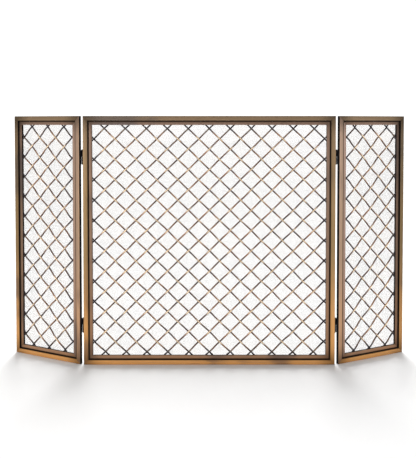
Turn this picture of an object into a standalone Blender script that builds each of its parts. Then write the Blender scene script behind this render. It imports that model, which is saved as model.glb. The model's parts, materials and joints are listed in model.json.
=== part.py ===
"""Three-panel folding fireplace screen: bronze box-section frames with a woven rod lattice.

Units are metres, +Z is up, and the front of the screen faces -Y.  The origin is on the
floor, midway across the screen and midway between its front and its rearmost point.
"""

import math

import bmesh
import bpy
from mathutils import Vector

# Overall sizes
SCREEN_HEIGHT = 0.864
CENTRE_WIDTH = 0.872
SIDE_WIDTH = 0.2915
FRAME_DEPTH = 0.0127
SPLAY = math.radians(27.5)  # how far each side panel stands back from the centre one
FIT_GAP = 0.0003  # clearance between pieces that touch

# Box-section rails, mitred at the corners
RAIL_FACE = 0.0162
RAIL_WALL = 0.0012
RAIL_FRONT_RADIUS = 0.0015
RAIL_BACK_RADIUS = 0.0008
ARC_STEPS = 3  # straight pieces in each rounded corner

# Stepped trim inside the rails: flange, web and front band
TRIM_THICKNESS = 0.0015
TRIM_FACE_END = 0.0313  # from the panel's outer edge to the edge of the opening
GROOVE_WIDTH = 0.0038
GROOVE_FLOOR = 0.0067
BAND_FRONT = 0.0042
BAND_CHAMFER = 0.0006
WEB_BACK = 0.0108

# Spark mesh and the flat bars that clamp it from behind
MESH_FRONT = 0.0111
MESH_THICKNESS = 0.0002
MESH_EDGE = 0.0175  # from the panel's outer edge to the edge of the mesh
RETAINER_FRONT = 0.0116

# Rod lattice
ROD_WIDTH = 0.0046
LATTICE_FRONT = 0.0062
LATTICE_THICKNESS = 0.0036
LATTICE_TUCK = 0.005  # how far the rod ends run behind the trim band
LATTICE_ROWS = 11  # half pitches from the middle to the top crossings
CENTRE_COLUMNS = 11
CENTRE_PITCH = (0.03615, 0.0353)  # half pitch across and up
SIDE_COLUMNS = 3
SIDE_PITCH = (0.0359, 0.0358)
SIDE_LATTICE_SHIFT = 0.003  # the side lattices sit this much nearer their hinges

# The upright bars of a side panel are named by where they stand: inner is at the hinge
UPRIGHT_LABELS = {
    "centre": {"left": "left", "right": "right"},
    "left": {"left": "outer", "right": "inner"},
    "right": {"left": "inner", "right": "outer"},
}

# Hinges: two stacked barrels on a fixed pin, behind the gap between two frames
LEAF_THICKNESS = 0.0014
BARREL_OUTER = 0.003
PIN_RADIUS = 0.0013
LEAF_HEIGHT = 0.050
BARREL_SPACING = 0.001  # bare pin between the two barrels
LEAF_FRONT = 0.002  # depth of the leaf's front edge behind the frame's face
CURL = math.radians(285)
CURL_STEPS = 12
PIN_SIDES = 16
PIN_HEAD_RADIUS = 0.0026
PIN_HEAD_HEIGHT = 0.0014
UPPER_HINGE_HEIGHT = 0.722
LOWER_HINGE_HEIGHT = 0.135

# Worked out from the sizes above
PIVOT_OFFSET = BARREL_OUTER + FIT_GAP  # from a frame's end face to the hinge axis
PIVOT_DEPTH = FRAME_DEPTH + 0.0028  # from the front face to the hinge axis
PIVOT_X = CENTRE_WIDTH / 2 + PIVOT_OFFSET
REAR_REACH = (PIVOT_OFFSET + SIDE_WIDTH) * math.sin(SPLAY)
REAR_INSET = (PIVOT_DEPTH - FRAME_DEPTH) * math.cos(SPLAY)
SCREEN_DEPTH = PIVOT_DEPTH + REAR_REACH - REAR_INSET
FRONT_Y = -SCREEN_DEPTH / 2
LEAF_RADIUS = BARREL_OUTER - LEAF_THICKNESS / 2  # to the middle of the leaf's thickness


# Scene helpers

def clear_scene():
    """Remove every object, so that the script always starts from nothing."""
    for item in list(bpy.data.objects):
        bpy.data.objects.remove(item, do_unlink=True)


def make_material(name, colour, metallic, roughness):
    """Make a plain metal finish."""
    material = bpy.data.materials.new(name)
    material.use_nodes = True
    shader = material.node_tree.nodes["Principled BSDF"]
    shader.inputs["Base Color"].default_value = (*colour, 1.0)
    shader.inputs["Metallic"].default_value = metallic
    shader.inputs["Roughness"].default_value = roughness
    return material


def make_finishes():
    """The finishes, by the name of the piece that wears them."""
    return {
        "rail": make_material("rubbed_bronze_rail", (0.27, 0.19, 0.10), 0.8, 0.45),
        "trim": make_material("rubbed_bronze_trim", (0.20, 0.14, 0.09), 0.8, 0.5),
        "lattice": make_material("rubbed_bronze_rod", (0.19, 0.14, 0.10), 0.8, 0.45),
        "mesh": make_material("spark_mesh", (0.10, 0.09, 0.08), 0.6, 0.5),
        "retainer": make_material("black_retainer", (0.02, 0.018, 0.016), 0.3, 0.5),
        "hinge": make_material("black_hinge", (0.012, 0.010, 0.010), 0.4, 0.45),
        "pin": make_material("dark_pin", (0.05, 0.045, 0.04), 0.9, 0.35),
    }


def add_object(name, mesh_builder, material):
    """Turn a finished bmesh into a named object with its faces pointing outwards."""
    bmesh.ops.recalc_face_normals(mesh_builder, faces=mesh_builder.faces[:])
    mesh = bpy.data.meshes.new(name)
    mesh_builder.to_mesh(mesh)
    mesh_builder.free()
    mesh.materials.append(material)
    item = bpy.data.objects.new(name, mesh)
    bpy.context.scene.collection.objects.link(item)
    return item


def place(item, location, parent=None):
    """Set an object's place, under a parent if it has one."""
    item.parent = parent
    item.location = location


def make_axis(name, location, angle):
    """An empty on a hinge's axis, turned by the panel's angle."""
    axis = bpy.data.objects.new(name, None)
    axis.location = location
    axis.rotation_euler = (0.0, 0.0, angle)
    bpy.context.scene.collection.objects.link(axis)
    return axis


# Mitred bars

def rounded_section(inset, front_radius, back_radius):
    """Outline of a rail, as (distance in from the edge, depth) points, inset by a wall."""
    low_u = inset
    high_u = RAIL_FACE - inset
    low_y = inset
    high_y = FRAME_DEPTH - inset
    corners = (
        (low_u + front_radius, low_y + front_radius, front_radius, math.pi),
        (high_u - front_radius, low_y + front_radius, front_radius, 1.5 * math.pi),
        (high_u - back_radius, high_y - back_radius, back_radius, 0.0),
        (low_u + back_radius, high_y - back_radius, back_radius, 0.5 * math.pi),
    )
    points = []
    for centre_u, centre_y, radius, start in corners:
        for step in range(ARC_STEPS + 1):
            angle = start + 0.5 * math.pi * step / ARC_STEPS
            points.append((centre_u + radius * math.cos(angle), centre_y + radius * math.sin(angle)))
    return points


def trim_section():
    """Outline of the stepped trim: a low flange, a web and the front band."""
    flange_start = RAIL_FACE + FIT_GAP
    web = RAIL_FACE + GROOVE_WIDTH
    web_inner = web + TRIM_THICKNESS
    band_back = BAND_FRONT + TRIM_THICKNESS
    flange_back = GROOVE_FLOOR + TRIM_THICKNESS
    return [
        (flange_start, GROOVE_FLOOR),
        (web, GROOVE_FLOOR),
        (web, BAND_FRONT + BAND_CHAMFER),
        (web + BAND_CHAMFER, BAND_FRONT),
        (TRIM_FACE_END - BAND_CHAMFER, BAND_FRONT),
        (TRIM_FACE_END, BAND_FRONT + BAND_CHAMFER),
        (TRIM_FACE_END, band_back),
        (web_inner, band_back),
        (web_inner, WEB_BACK),
        (web, WEB_BACK),
        (web, flange_back),
        (flange_start, flange_back),
    ]


def retainer_section():
    """Outline of the flat bar that clamps the spark mesh."""
    start = RAIL_FACE + FIT_GAP
    return [
        (start, RETAINER_FRONT),
        (TRIM_FACE_END, RETAINER_FRONT),
        (TRIM_FACE_END, FRAME_DEPTH),
        (start, FRAME_DEPTH),
    ]


def mitred_bar(outline, bore, length):
    """Sweep a section along a bar whose two ends are cut at 45 degrees.

    A section point's distance in from the edge is also its distance along the mitre.
    With a bore the bar is a tube, open at both ends.
    """
    builder = bmesh.new()
    half_gap = FIT_GAP / math.sqrt(2)
    loops = []
    for section in (outline, bore):
        if section is None:
            continue
        near = [builder.verts.new((u + half_gap, y, u)) for u, y in section]
        far = [builder.verts.new((length - u - half_gap, y, u)) for u, y in section]
        loops.append((near, far))
    count = len(outline)
    for near, far in loops:
        for index in range(count):
            after = (index + 1) % count
            builder.faces.new((near[index], near[after], far[after], far[index]))
    for end in range(2):
        if bore is None:
            builder.faces.new(loops[0][end])
            continue
        outer_loop = loops[0][end]
        inner_loop = loops[1][end]
        for index in range(count):
            after = (index + 1) % count
            builder.faces.new((outer_loop[index], outer_loop[after], inner_loop[after], inner_loop[index]))
    return builder


def place_on_side(builder, side, width):
    """Move a bar from its bench position to one side of a panel centred on X = 0."""
    half_width = width / 2
    middle = SCREEN_HEIGHT / 2
    turns = {"bottom": 0.0, "right": -0.5 * math.pi, "top": math.pi, "left": 0.5 * math.pi}
    length = width if side in ("bottom", "top") else SCREEN_HEIGHT
    reach = middle if side in ("bottom", "top") else half_width
    turn = turns[side]
    for vert in builder.verts:
        along = vert.co.x - length / 2
        out = vert.co.z - reach
        vert.co.x = along * math.cos(turn) + out * math.sin(turn)
        vert.co.z = out * math.cos(turn) - along * math.sin(turn) + middle


def make_bars(panel, width, kind, outline, bore, material):
    """The four mitred bars of one kind round a panel."""
    bars = []
    for side in ("top", "bottom", "left", "right"):
        length = width if side in ("top", "bottom") else SCREEN_HEIGHT
        label = UPRIGHT_LABELS[panel].get(side, side)
        builder = mitred_bar(outline, bore, length)
        place_on_side(builder, side, width)
        bars.append(add_object(f"{panel}_{label}_{kind}", builder, material))
    return bars


# Lattice and spark mesh

def box(low, high):
    """A closed box between two corners."""
    builder = bmesh.new()
    bmesh.ops.create_cube(builder, size=1.0)
    for vert in builder.verts:
        for axis in range(3):
            vert.co[axis] = low[axis] if vert.co[axis] < 0 else high[axis]
    return builder


def diamond_cutter(name, columns, pitch, shift, material):
    """One prism for each diamond opening of a lattice."""
    step_x, step_z = pitch
    diagonal = math.hypot(step_x, step_z)
    reach_x = step_x - ROD_WIDTH / 2 * diagonal / step_z
    reach_z = step_z - ROD_WIDTH / 2 * diagonal / step_x
    front = LATTICE_FRONT - LATTICE_THICKNESS
    back = LATTICE_FRONT + 2 * LATTICE_THICKNESS
    builder = bmesh.new()
    for column in range(-columns - 1, columns + 2):
        for row in range(-LATTICE_ROWS - 1, LATTICE_ROWS + 2):
            if (column + row) % 2:
                continue
            centre_x = shift + column * step_x
            centre_z = SCREEN_HEIGHT / 2 + row * step_z
            corners = (
                (centre_x - reach_x, centre_z),
                (centre_x, centre_z - reach_z),
                (centre_x + reach_x, centre_z),
                (centre_x, centre_z + reach_z),
            )
            near = [builder.verts.new((x, front, z)) for x, z in corners]
            far = [builder.verts.new((x, back, z)) for x, z in corners]
            builder.faces.new(near)
            builder.faces.new(far)
            for index in range(4):
                after = (index + 1) % 4
                builder.faces.new((near[index], near[after], far[after], far[index]))
    cutter = add_object(name, builder, material)
    cutter.hide_render = True
    cutter.display_type = "WIRE"
    return cutter


def make_lattice(panel, width, columns, pitch, shift, material):
    """The rod lattice: a thin plate with its diamonds cut out."""
    half_width = width / 2 - TRIM_FACE_END + LATTICE_TUCK
    low_z = TRIM_FACE_END - LATTICE_TUCK
    builder = box(
        (-half_width, LATTICE_FRONT, low_z),
        (half_width, LATTICE_FRONT + LATTICE_THICKNESS, SCREEN_HEIGHT - low_z),
    )
    lattice = add_object(f"{panel}_lattice", builder, material)
    cutter = diamond_cutter(f"{panel}_diamonds", columns, pitch, shift, material)
    cut = lattice.modifiers.new("Diamonds", "BOOLEAN")
    cut.operation = "DIFFERENCE"
    cut.solver = "EXACT"
    cut.object = cutter
    return [lattice, cutter]


def make_spark_mesh(panel, width, material):
    """The fine mesh, as one thin sheet reaching under the retainers."""
    half_width = width / 2 - MESH_EDGE
    builder = box(
        (-half_width, MESH_FRONT, MESH_EDGE),
        (half_width, MESH_FRONT + MESH_THICKNESS, SCREEN_HEIGHT - MESH_EDGE),
    )
    return add_object(f"{panel}_spark_mesh", builder, material)


# Panels

def make_panel(panel, width, columns, pitch, shift, finishes):
    """All the pieces of one framed panel, centred on X = 0 with its front face at Y = 0."""
    tube = rounded_section(0.0, RAIL_FRONT_RADIUS, RAIL_BACK_RADIUS)
    tube_bore = rounded_section(RAIL_WALL, RAIL_FRONT_RADIUS / 5, RAIL_BACK_RADIUS / 4)
    pieces = make_bars(panel, width, "rail", tube, tube_bore, finishes["rail"])
    pieces += make_bars(panel, width, "trim", trim_section(), None, finishes["trim"])
    pieces += make_bars(panel, width, "retainer", retainer_section(), None, finishes["retainer"])
    pieces += make_lattice(panel, width, columns, pitch, shift, finishes["lattice"])
    pieces.append(make_spark_mesh(panel, width, finishes["mesh"]))
    return pieces


def make_centre_panel(finishes):
    """The wide panel in the middle."""
    pieces = make_panel("centre", CENTRE_WIDTH, CENTRE_COLUMNS, CENTRE_PITCH, 0.0, finishes)
    for piece in pieces:
        place(piece, (0.0, FRONT_Y, 0.0))


def make_side_panel(panel, direction, axis, finishes):
    """A narrow panel, hung on its hinge axis; direction is -1 on the left and 1 on the right."""
    shift = -direction * SIDE_LATTICE_SHIFT
    pieces = make_panel(panel, SIDE_WIDTH, SIDE_COLUMNS, SIDE_PITCH, shift, finishes)
    for piece in pieces:
        place(piece, (direction * (PIVOT_OFFSET + SIDE_WIDTH / 2), -PIVOT_DEPTH, 0.0), axis)


# Hinges

def leaf_stations():
    """Inner and outer points along a leaf's section, from its front edge round its barrel."""
    half = LEAF_THICKNESS / 2
    front = LEAF_FRONT - PIVOT_DEPTH
    barrel_clear = -(BARREL_OUTER + FIT_GAP / 2)
    stations = []
    for depth in (front, barrel_clear):
        stations.append(((LEAF_RADIUS - half, depth), (LEAF_RADIUS + half, depth)))
    for step in range(CURL_STEPS + 1):
        angle = CURL * step / CURL_STEPS
        direction = Vector((math.cos(angle), math.sin(angle)))
        stations.append((direction * (LEAF_RADIUS - half), direction * (LEAF_RADIUS + half)))
    return stations


def make_leaf(name, direction, barrel_on_top, material):
    """A hinge leaf whose barrel fills one half of its height.

    direction is the side of the hinge axis that the leaf's plate lies on.
    """
    half_height = LEAF_HEIGHT / 2
    split = BARREL_SPACING / 2
    levels = (-half_height, -split, split, half_height)
    barrel_level = 2 if barrel_on_top else 0
    stations = leaf_stations()
    builder = bmesh.new()
    corners = {}
    for level, height in enumerate(levels):
        for index, pair in enumerate(stations):
            for rim, point in enumerate(pair):
                if index > 1 and level not in (barrel_level, barrel_level + 1):
                    continue
                position = (direction * point[0], point[1], height)
                corners[level, index, rim] = builder.verts.new(position)
    cells = [(level, 0) for level in range(3)]
    cells += [(barrel_level, index) for index in range(1, len(stations) - 1)]
    walls = {}
    for level, index in cells:
        for wall in cell_walls(level, index):
            key = frozenset(wall)
            walls[key] = None if key in walls else wall
    for wall in walls.values():
        if wall is not None:
            builder.faces.new([corners[corner] for corner in wall])
    return add_object(name, builder, material)


def cell_walls(level, index):
    """The six walls of one block between neighbouring levels and stations."""
    above = level + 1
    after = index + 1
    return (
        ((level, index, 0), (level, after, 0), (level, after, 1), (level, index, 1)),
        ((above, index, 0), (above, index, 1), (above, after, 1), (above, after, 0)),
        ((level, index, 0), (level, index, 1), (above, index, 1), (above, index, 0)),
        ((level, after, 0), (above, after, 0), (above, after, 1), (level, after, 1)),
        ((level, index, 0), (above, index, 0), (above, after, 0), (level, after, 0)),
        ((level, index, 1), (level, after, 1), (above, after, 1), (above, index, 1)),
    )


def make_pin(name, material):
    """A hinge pin with a low domed head at each end."""
    shank = LEAF_HEIGHT / 2 + FIT_GAP
    dome = PIN_HEAD_RADIUS * 0.6
    profile = [
        (dome, -shank - PIN_HEAD_HEIGHT),
        (PIN_HEAD_RADIUS, -shank - PIN_HEAD_HEIGHT / 2),
        (PIN_HEAD_RADIUS, -shank),
        (PIN_RADIUS, -shank),
        (PIN_RADIUS, shank),
        (PIN_HEAD_RADIUS, shank),
        (PIN_HEAD_RADIUS, shank + PIN_HEAD_HEIGHT / 2),
        (dome, shank + PIN_HEAD_HEIGHT),
    ]
    builder = bmesh.new()
    rings = []
    for radius, height in profile:
        ring = []
        for side in range(PIN_SIDES):
            angle = 2 * math.pi * side / PIN_SIDES
            ring.append(builder.verts.new((radius * math.cos(angle), radius * math.sin(angle), height)))
        rings.append(ring)
    for lower, upper in zip(rings, rings[1:]):
        for side in range(PIN_SIDES):
            after = (side + 1) % PIN_SIDES
            builder.faces.new((lower[side], lower[after], upper[after], upper[side]))
    builder.faces.new(rings[0])
    builder.faces.new(rings[-1])
    pin = add_object(name, builder, material)
    pin.data.shade_smooth()
    pin.data.set_sharp_from_angle(angle=math.radians(35))
    return pin


def make_hinge(name, direction, height, axis, finishes):
    """One hinge: a leaf on each panel and the pin, which stays with the centre panel."""
    centre_leaf = make_leaf(f"{name}_centre_leaf", -direction, False, finishes["hinge"])
    side_leaf = make_leaf(f"{name}_side_leaf", direction, True, finishes["hinge"])
    pin = make_pin(f"{name}_pin", finishes["pin"])
    position = (direction * PIVOT_X, FRONT_Y + PIVOT_DEPTH, height)
    place(centre_leaf, position)
    place(pin, position)
    place(side_leaf, (0.0, 0.0, height), axis)


def main():
    clear_scene()
    finishes = make_finishes()
    make_centre_panel(finishes)
    for panel, direction in (("left", -1), ("right", 1)):
        position = (direction * PIVOT_X, FRONT_Y + PIVOT_DEPTH, 0.0)
        axis = make_axis(f"{panel}_hinge_axis", position, direction * SPLAY)
        make_side_panel(panel, direction, axis, finishes)
        make_hinge(f"{panel}_upper_hinge", direction, UPPER_HINGE_HEIGHT, axis, finishes)
        make_hinge(f"{panel}_lower_hinge", direction, LOWER_HINGE_HEIGHT, axis, finishes)


main()
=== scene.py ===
"""Folding fireplace screen: rubbed bronze frames, woven rod lattice, spark mesh, hinges and studio."""

import json
import math

import bmesh
import bpy
import numpy as np
from mathutils import Matrix, Vector


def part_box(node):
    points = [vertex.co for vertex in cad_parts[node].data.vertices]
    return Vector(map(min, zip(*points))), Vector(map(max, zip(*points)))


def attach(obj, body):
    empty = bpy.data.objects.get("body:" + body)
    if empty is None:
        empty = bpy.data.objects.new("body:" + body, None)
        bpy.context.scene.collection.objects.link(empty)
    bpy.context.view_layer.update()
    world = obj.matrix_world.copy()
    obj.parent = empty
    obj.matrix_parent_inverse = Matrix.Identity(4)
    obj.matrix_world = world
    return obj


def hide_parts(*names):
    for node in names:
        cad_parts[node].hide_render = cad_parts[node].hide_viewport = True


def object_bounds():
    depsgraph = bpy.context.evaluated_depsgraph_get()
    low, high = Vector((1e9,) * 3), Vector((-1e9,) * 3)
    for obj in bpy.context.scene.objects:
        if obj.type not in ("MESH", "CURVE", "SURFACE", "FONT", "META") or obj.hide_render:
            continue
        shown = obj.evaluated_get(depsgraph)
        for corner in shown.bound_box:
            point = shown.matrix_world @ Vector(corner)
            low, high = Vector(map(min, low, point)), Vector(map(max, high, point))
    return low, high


bl_info = {
    "name": "Folding Fireplace Screen",
    "version": (1, 0, 0),
    "blender": (4, 5, 0),
    "location": "View3D > Sidebar > Fire Screen",
    "description": "Builds the visible pieces of a three-panel fireplace screen around its frame",
    "category": "Object",
}

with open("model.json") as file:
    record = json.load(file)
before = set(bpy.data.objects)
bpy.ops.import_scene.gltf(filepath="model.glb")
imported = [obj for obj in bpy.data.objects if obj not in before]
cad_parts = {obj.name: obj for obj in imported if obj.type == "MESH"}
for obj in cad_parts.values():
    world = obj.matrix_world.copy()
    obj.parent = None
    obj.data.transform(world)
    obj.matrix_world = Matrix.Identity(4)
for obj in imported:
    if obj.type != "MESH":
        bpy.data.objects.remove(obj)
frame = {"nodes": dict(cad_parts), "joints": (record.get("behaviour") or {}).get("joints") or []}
CAD_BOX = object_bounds()

PANELS = ("centre", "left", "right")
SIDES = ("top", "bottom", "left", "right")
UPRIGHTS = {
    "centre": {"left": "left", "right": "right"},
    "left": {"left": "outer", "right": "inner"},
    "right": {"left": "inner", "right": "outer"},
}
HINGES = ("left_upper", "left_lower", "right_upper", "right_lower")
BENCH = "bench"  # attribute: where a point lay on its piece before the piece was fitted
EDGE = "edge"  # attribute: distance in from the edge of a panel's opening
CORNER = "corner"  # attribute: distance along a bar from its nearer end
# The next attribute holds how far a bar's patina has been rubbed back and how brightly the bar is lit, so it
# is partly painted light and shade.
RUB_AND_LIGHT = "rubbing"  # attribute: how far a bar's patina has been rubbed back
UPWARD = "upward"  # attribute: how far a rod's skin faces up
# Per bar: how far its patina has been rubbed back, and painted light and shade for how that bar faces the
# light, such as the brighter bottom rails.
BAR_RUB_AND_LIGHT = {
    "left_outer": 0.3, "left_inner": 1.0, "right_inner": 1.0, "right_outer": 0.08,
    "left_top": 0.6, "right_top": 0.6, "left_bottom": 0.8, "right_bottom": 0.75,
    "centre_left": 0.42, "centre_right": 0.62, "centre_top": 0.65, "centre_bottom": 0.8,
}
HAIRLINE = 0.0003  # clearance between pieces that touch
SEAL = 0.00028  # how far trims and retainers reach across that clearance to keep light out
FOLD_AXIS = Vector((0.0, 0.0, 1.0))


def linear(red, green, blue):
    """A colour given as 0-255 display values, as the linear values that shaders use."""
    shares = (channel / 255 for channel in (red, green, blue))
    return tuple(s / 12.92 if s <= 0.04045 else ((s + 0.055) / 1.055) ** 2.4 for s in shares)


# Sizes and colours that a user would change

def metres(name, description, default):
    """A size in metres."""
    return bpy.props.FloatProperty(name=name, description=description, default=default, unit="LENGTH")


def shade(name, description, shown):
    """A colour, given as 0-255 display values."""
    return bpy.props.FloatVectorProperty(
        name=name, description=description, default=linear(*shown), subtype="COLOR")


class ScreenSizes(bpy.types.PropertyGroup):
    """Sizes of the visible detail."""

    edge_radius: metres("Rail edge radius", "Rounding of a rail's front edges", 0.0017)
    back_radius: metres("Rail back radius", "Rounding of a rail's back edges", 0.0010)
    mitre_chamfer: metres("Mitre chamfer", "Chamfer that shows as a fine line at each mitre", 0.0003)
    groove_width: metres("Groove width", "Width of the dark groove between rail and trim band", 0.0038)
    groove_floor: metres("Groove floor", "Depth of the groove's floor behind the rail's face", 0.0067)
    strip: metres("Trim thickness", "Thickness of the folded trim strip", 0.0015)
    rod: metres("Rod diameter", "Diameter of the lattice rods", 0.0054)
    crimp: metres("Rod crimp", "How far a rod's middle swings each way as it weaves", 0.0023)
    rod_depth: metres("Lattice depth", "Depth of the weave's middle behind the rail's face", 0.0061)
    rod_end_depth: metres("Rod end depth", "Depth of the rod ends where they pass behind the trim", 0.0083)
    settle: metres("Settling length", "Distance over which the weave flattens towards the trim", 0.014)
    waver: metres("Rod waver", "How far hand bending moves the rods off their pattern", 0.0016)
    wire: metres("Wire diameter", "Diameter of the spark mesh's wires", 0.0002)
    wire_pitch: metres("Wire pitch", "Spacing of the spark mesh's wires", 0.0012)
    screw_spacing: metres("Screw spacing", "Greatest distance between two retainer screws", 0.17)
    screw_radius: metres("Screw head radius", "Radius of a screw's head", 0.0028)


class ScreenColours(bpy.types.PropertyGroup):
    """Colours of the finishes, some of which also carry painted light and shade."""

    # Gold goes on the bars' outer edges, as polish and also as a painted highlight of the rounded edge
    # catching the light.
    gold: shade("Rubbed gold", "Bronze where hands and hearth brushes have polished it", (214, 170, 120))
    # Low and high bronze paint the floor's light onto the lower bars and painted shade onto the top bars.
    floor_lit_bronze: shade("Low bronze", "Warm bronze near the floor", (210, 154, 94))
    mid_bronze: shade("Middle bronze", "Bronze at half height", (142, 116, 80))
    top_shaded_bronze: shade("High bronze", "Duller bronze at the top", (127, 106, 82))
    slate: shade("Slate patina", "Grey patches of older patina", (74, 72, 74))
    band: shade("Band brown", "Reddish brown of the recessed bands", (120, 96, 86))
    # Groove brown is paint on the trims' hidden faces and also painted shade in the groove.
    groove: shade("Groove brown", "Paint on the floor of the grooves", (40, 29, 20))
    rose: shade("Rose patina", "Pinkish patches of copper showing through", (158, 132, 118))
    # In the bronze, umber is painted shade along the edge by the groove; on black paint it is real smear.
    umber: shade("Umber ground", "Dark brown left in the grooves", (26, 16, 10))
    rod_brown: shade("Rod brown", "Body colour of the lattice rods", (126, 100, 86))
    rod_orange: shade("Rod orange", "Rods where the patina has been rubbed off", (170, 124, 88))
    # Crest gold is partly rubbing and partly a painted highlight on the crossings.
    crest: shade("Crest gold", "Rods where they cross over one another", (250, 222, 184))
    # Rod dark is unrubbed patina in the dips and at the ends, and also painted shade there and on the rods'
    # undersides.
    rod_dark_and_shade: shade("Rod dark", "Lattice rods where they dip or end", (26, 21, 30))
    black: shade("Black paint", "Paint on backs, sides and hinges", (12, 9, 12))
    mesh: shade("Spark mesh", "Colour of the fine wire cloth", (96, 88, 80))
    floor: shade("Floor", "Pale studio floor", (250, 250, 250))


# Where things are, read from the frame

def node_points(name):
    """The distinct corner points of a frame node."""
    points = [tuple(vertex.co) for vertex in frame["nodes"][name].data.vertices]
    return np.unique(np.round(np.array(points), 6), axis=0)


class Panel:
    """One panel's own frame: X across, Y back from its front face, Z up from the floor."""

    def __init__(self, name):
        self.name = name
        self.body = f"{name}_panel"
        top = node_points(f"{name}_top_rail")[:, :2]
        spread = top - top.mean(axis=0)
        values, vectors = np.linalg.eigh(spread.T @ spread)
        across = vectors[:, np.argmax(values)]
        across = across * np.sign(across[0])
        self.across = Vector((across[0], across[1], 0.0))
        self.back = Vector((-across[1], across[0], 0.0))
        rails = [self.bar(side, "rail") for side in SIDES]
        points = np.vstack([node_points(rail) for rail in rails])
        along = points @ np.array(self.across)
        deep = points @ np.array(self.back)
        self.width = float(np.ptp(along))
        self.depth = float(np.ptp(deep))
        self.height = float(points[:, 2].max())
        middle = float(along.min() + along.max()) / 2
        self.origin = self.across * middle + self.back * float(deep.min())
        self.matrix = Matrix((self.across, self.back, FOLD_AXIS)).transposed().to_4x4()
        self.matrix.translation = self.origin

    def bar(self, side, kind):
        """The node name of one of the panel's bars."""
        return f"{self.name}_{UPRIGHTS[self.name].get(side, side)}_{kind}"

    def box(self, node):
        """Lowest and highest corner of a node in the panel's own frame."""
        shifted = node_points(node) - np.array(self.origin)
        axes = np.array((self.across, self.back, FOLD_AXIS))
        local = shifted @ axes.T
        return local.min(axis=0).tolist(), local.max(axis=0).tolist()

    def span(self, kind):
        """How far in bars of one kind start and end, and how deep their front and back lie."""
        low, high = self.box(self.bar("top", kind))
        return self.height - high[2], self.height - low[2], low[1], high[1]

    def fit(self, item, slot, node=None):
        """Move a piece made in the panel's frame to its place."""
        fasten(item, self.matrix, self.body, node)


def fasten(item, matrix, body, node=None):
    """Put a piece in place on its body and hide the node it stands for."""
    item.data.transform(matrix)
    if matrix.determinant() < 0:
        item.data.flip_normals()
    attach(item, body)
    if node:
        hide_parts(node)


PANEL_FRAMES = {name: Panel(name) for name in PANELS}


# Mesh helpers

def add_object(name, data):
    """A new object in the scene."""
    item = bpy.data.objects.new(name, data)
    bpy.context.scene.collection.objects.link(item)
    return item


def link_mesh(name, builder, material, smooth_angle=35.0):
    """Turn a bmesh into a shaded object at the origin."""
    bmesh.ops.recalc_face_normals(builder, faces=builder.faces[:])
    mesh = bpy.data.meshes.new(name)
    builder.to_mesh(mesh)
    builder.free()
    mesh.shade_smooth()
    mesh.set_sharp_from_angle(angle=math.radians(smooth_angle))
    mesh.materials.append(material)
    return add_object(name, mesh)


def skin(builder, rings):
    """Faces between neighbouring rings of points, and over the first and the last."""
    count = len(rings[0])
    for near, far in zip(rings, rings[1:]):
        for index in range(count):
            after = (index + 1) % count
            builder.faces.new((near[index], near[after], far[after], far[index]))
    builder.faces.new(rings[0])
    builder.faces.new(rings[-1])


def rounded(corners, steps=5):
    """An outline with each corner (x, y, radius) turned into a short curve."""
    count = len(corners)
    points = []
    for index, (x, y, radius) in enumerate(corners):
        corner = Vector((x, y))
        if radius <= 0:
            points.append(corner)
            continue
        before = Vector(corners[index - 1][:2])
        after = Vector(corners[(index + 1) % count][:2])
        start = corner + (before - corner).normalized() * radius
        end = corner + (after - corner).normalized() * radius
        for step in range(steps + 1):
            t = step / steps
            points.append(start * (1 - t) ** 2 + corner * 2 * t * (1 - t) + end * t ** 2)
    return points


def sweep_bar(section, length, chamfer, rubbed):
    """A mitred bar along X; a section point's first value is also its distance along the mitre.

    Each point keeps (distance along, distance in, depth) in the bench attribute.
    """
    builder = bmesh.new()
    bench = builder.verts.layers.float_vector.new(BENCH)
    corner = builder.verts.layers.float.new(CORNER)
    rubbing = builder.verts.layers.float.new(RUB_AND_LIGHT)
    half_gap = HAIRLINE / 4
    middle_u = (min(p[0] for p in section) + max(p[0] for p in section)) / 2
    middle_y = (min(p[1] for p in section) + max(p[1] for p in section)) / 2
    rings = []
    for end, drawn_in in ((0, chamfer), (0, 0.0), (1, None), (2, 0.0), (2, chamfer)):
        ring = []
        shrink = drawn_in or 0.0
        for u, y in section:
            inner_u = u + math.copysign(min(shrink, abs(middle_u - u)), middle_u - u)
            inner_y = y + math.copysign(min(shrink, abs(middle_y - y)), middle_y - y)
            along = inner_u + half_gap + (chamfer - shrink)
            along = (along, length / 2, length - along)[end]
            vertex = builder.verts.new((along, inner_y, inner_u))
            vertex[bench] = (along, inner_u, inner_y)
            vertex[corner] = min(along, length - along)
            # The rubbed value also carries the bar's painted light and shade.
            vertex[rubbing] = rubbed
            ring.append(vertex)
        rings.append(ring)
    skin(builder, rings)
    return builder


def turn_to_side(builder, side, panel):
    """Move a bar from the bench to one side of its panel."""
    turns = {"bottom": 0.0, "right": -0.5 * math.pi, "top": math.pi, "left": 0.5 * math.pi}
    level = side in ("bottom", "top")
    length = panel.width if level else panel.height
    reach = panel.height / 2 if level else panel.width / 2
    cosine = math.cos(turns[side])
    sine = math.sin(turns[side])
    for vertex in builder.verts:
        along = vertex.co.x - length / 2
        out = vertex.co.z - reach
        vertex.co.x = along * cosine + out * sine
        vertex.co.z = out * cosine - along * sine + panel.height / 2


def make_bars(kind, section_of, material, slot):
    """Every bar of one kind, on every panel, each standing for its own node."""
    chamfer = bpy.context.scene.screen_sizes.mitre_chamfer
    for panel in PANEL_FRAMES.values():
        section = section_of(panel)
        for side in SIDES:
            length = panel.width if side in ("top", "bottom") else panel.height
            node = panel.bar(side, kind)
            builder = sweep_bar(section, length, chamfer, BAR_RUB_AND_LIGHT[node.removesuffix(f"_{kind}")])
            turn_to_side(builder, side, panel)
            panel.fit(link_mesh(f"{node}_finish", builder, material), slot, node)


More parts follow.
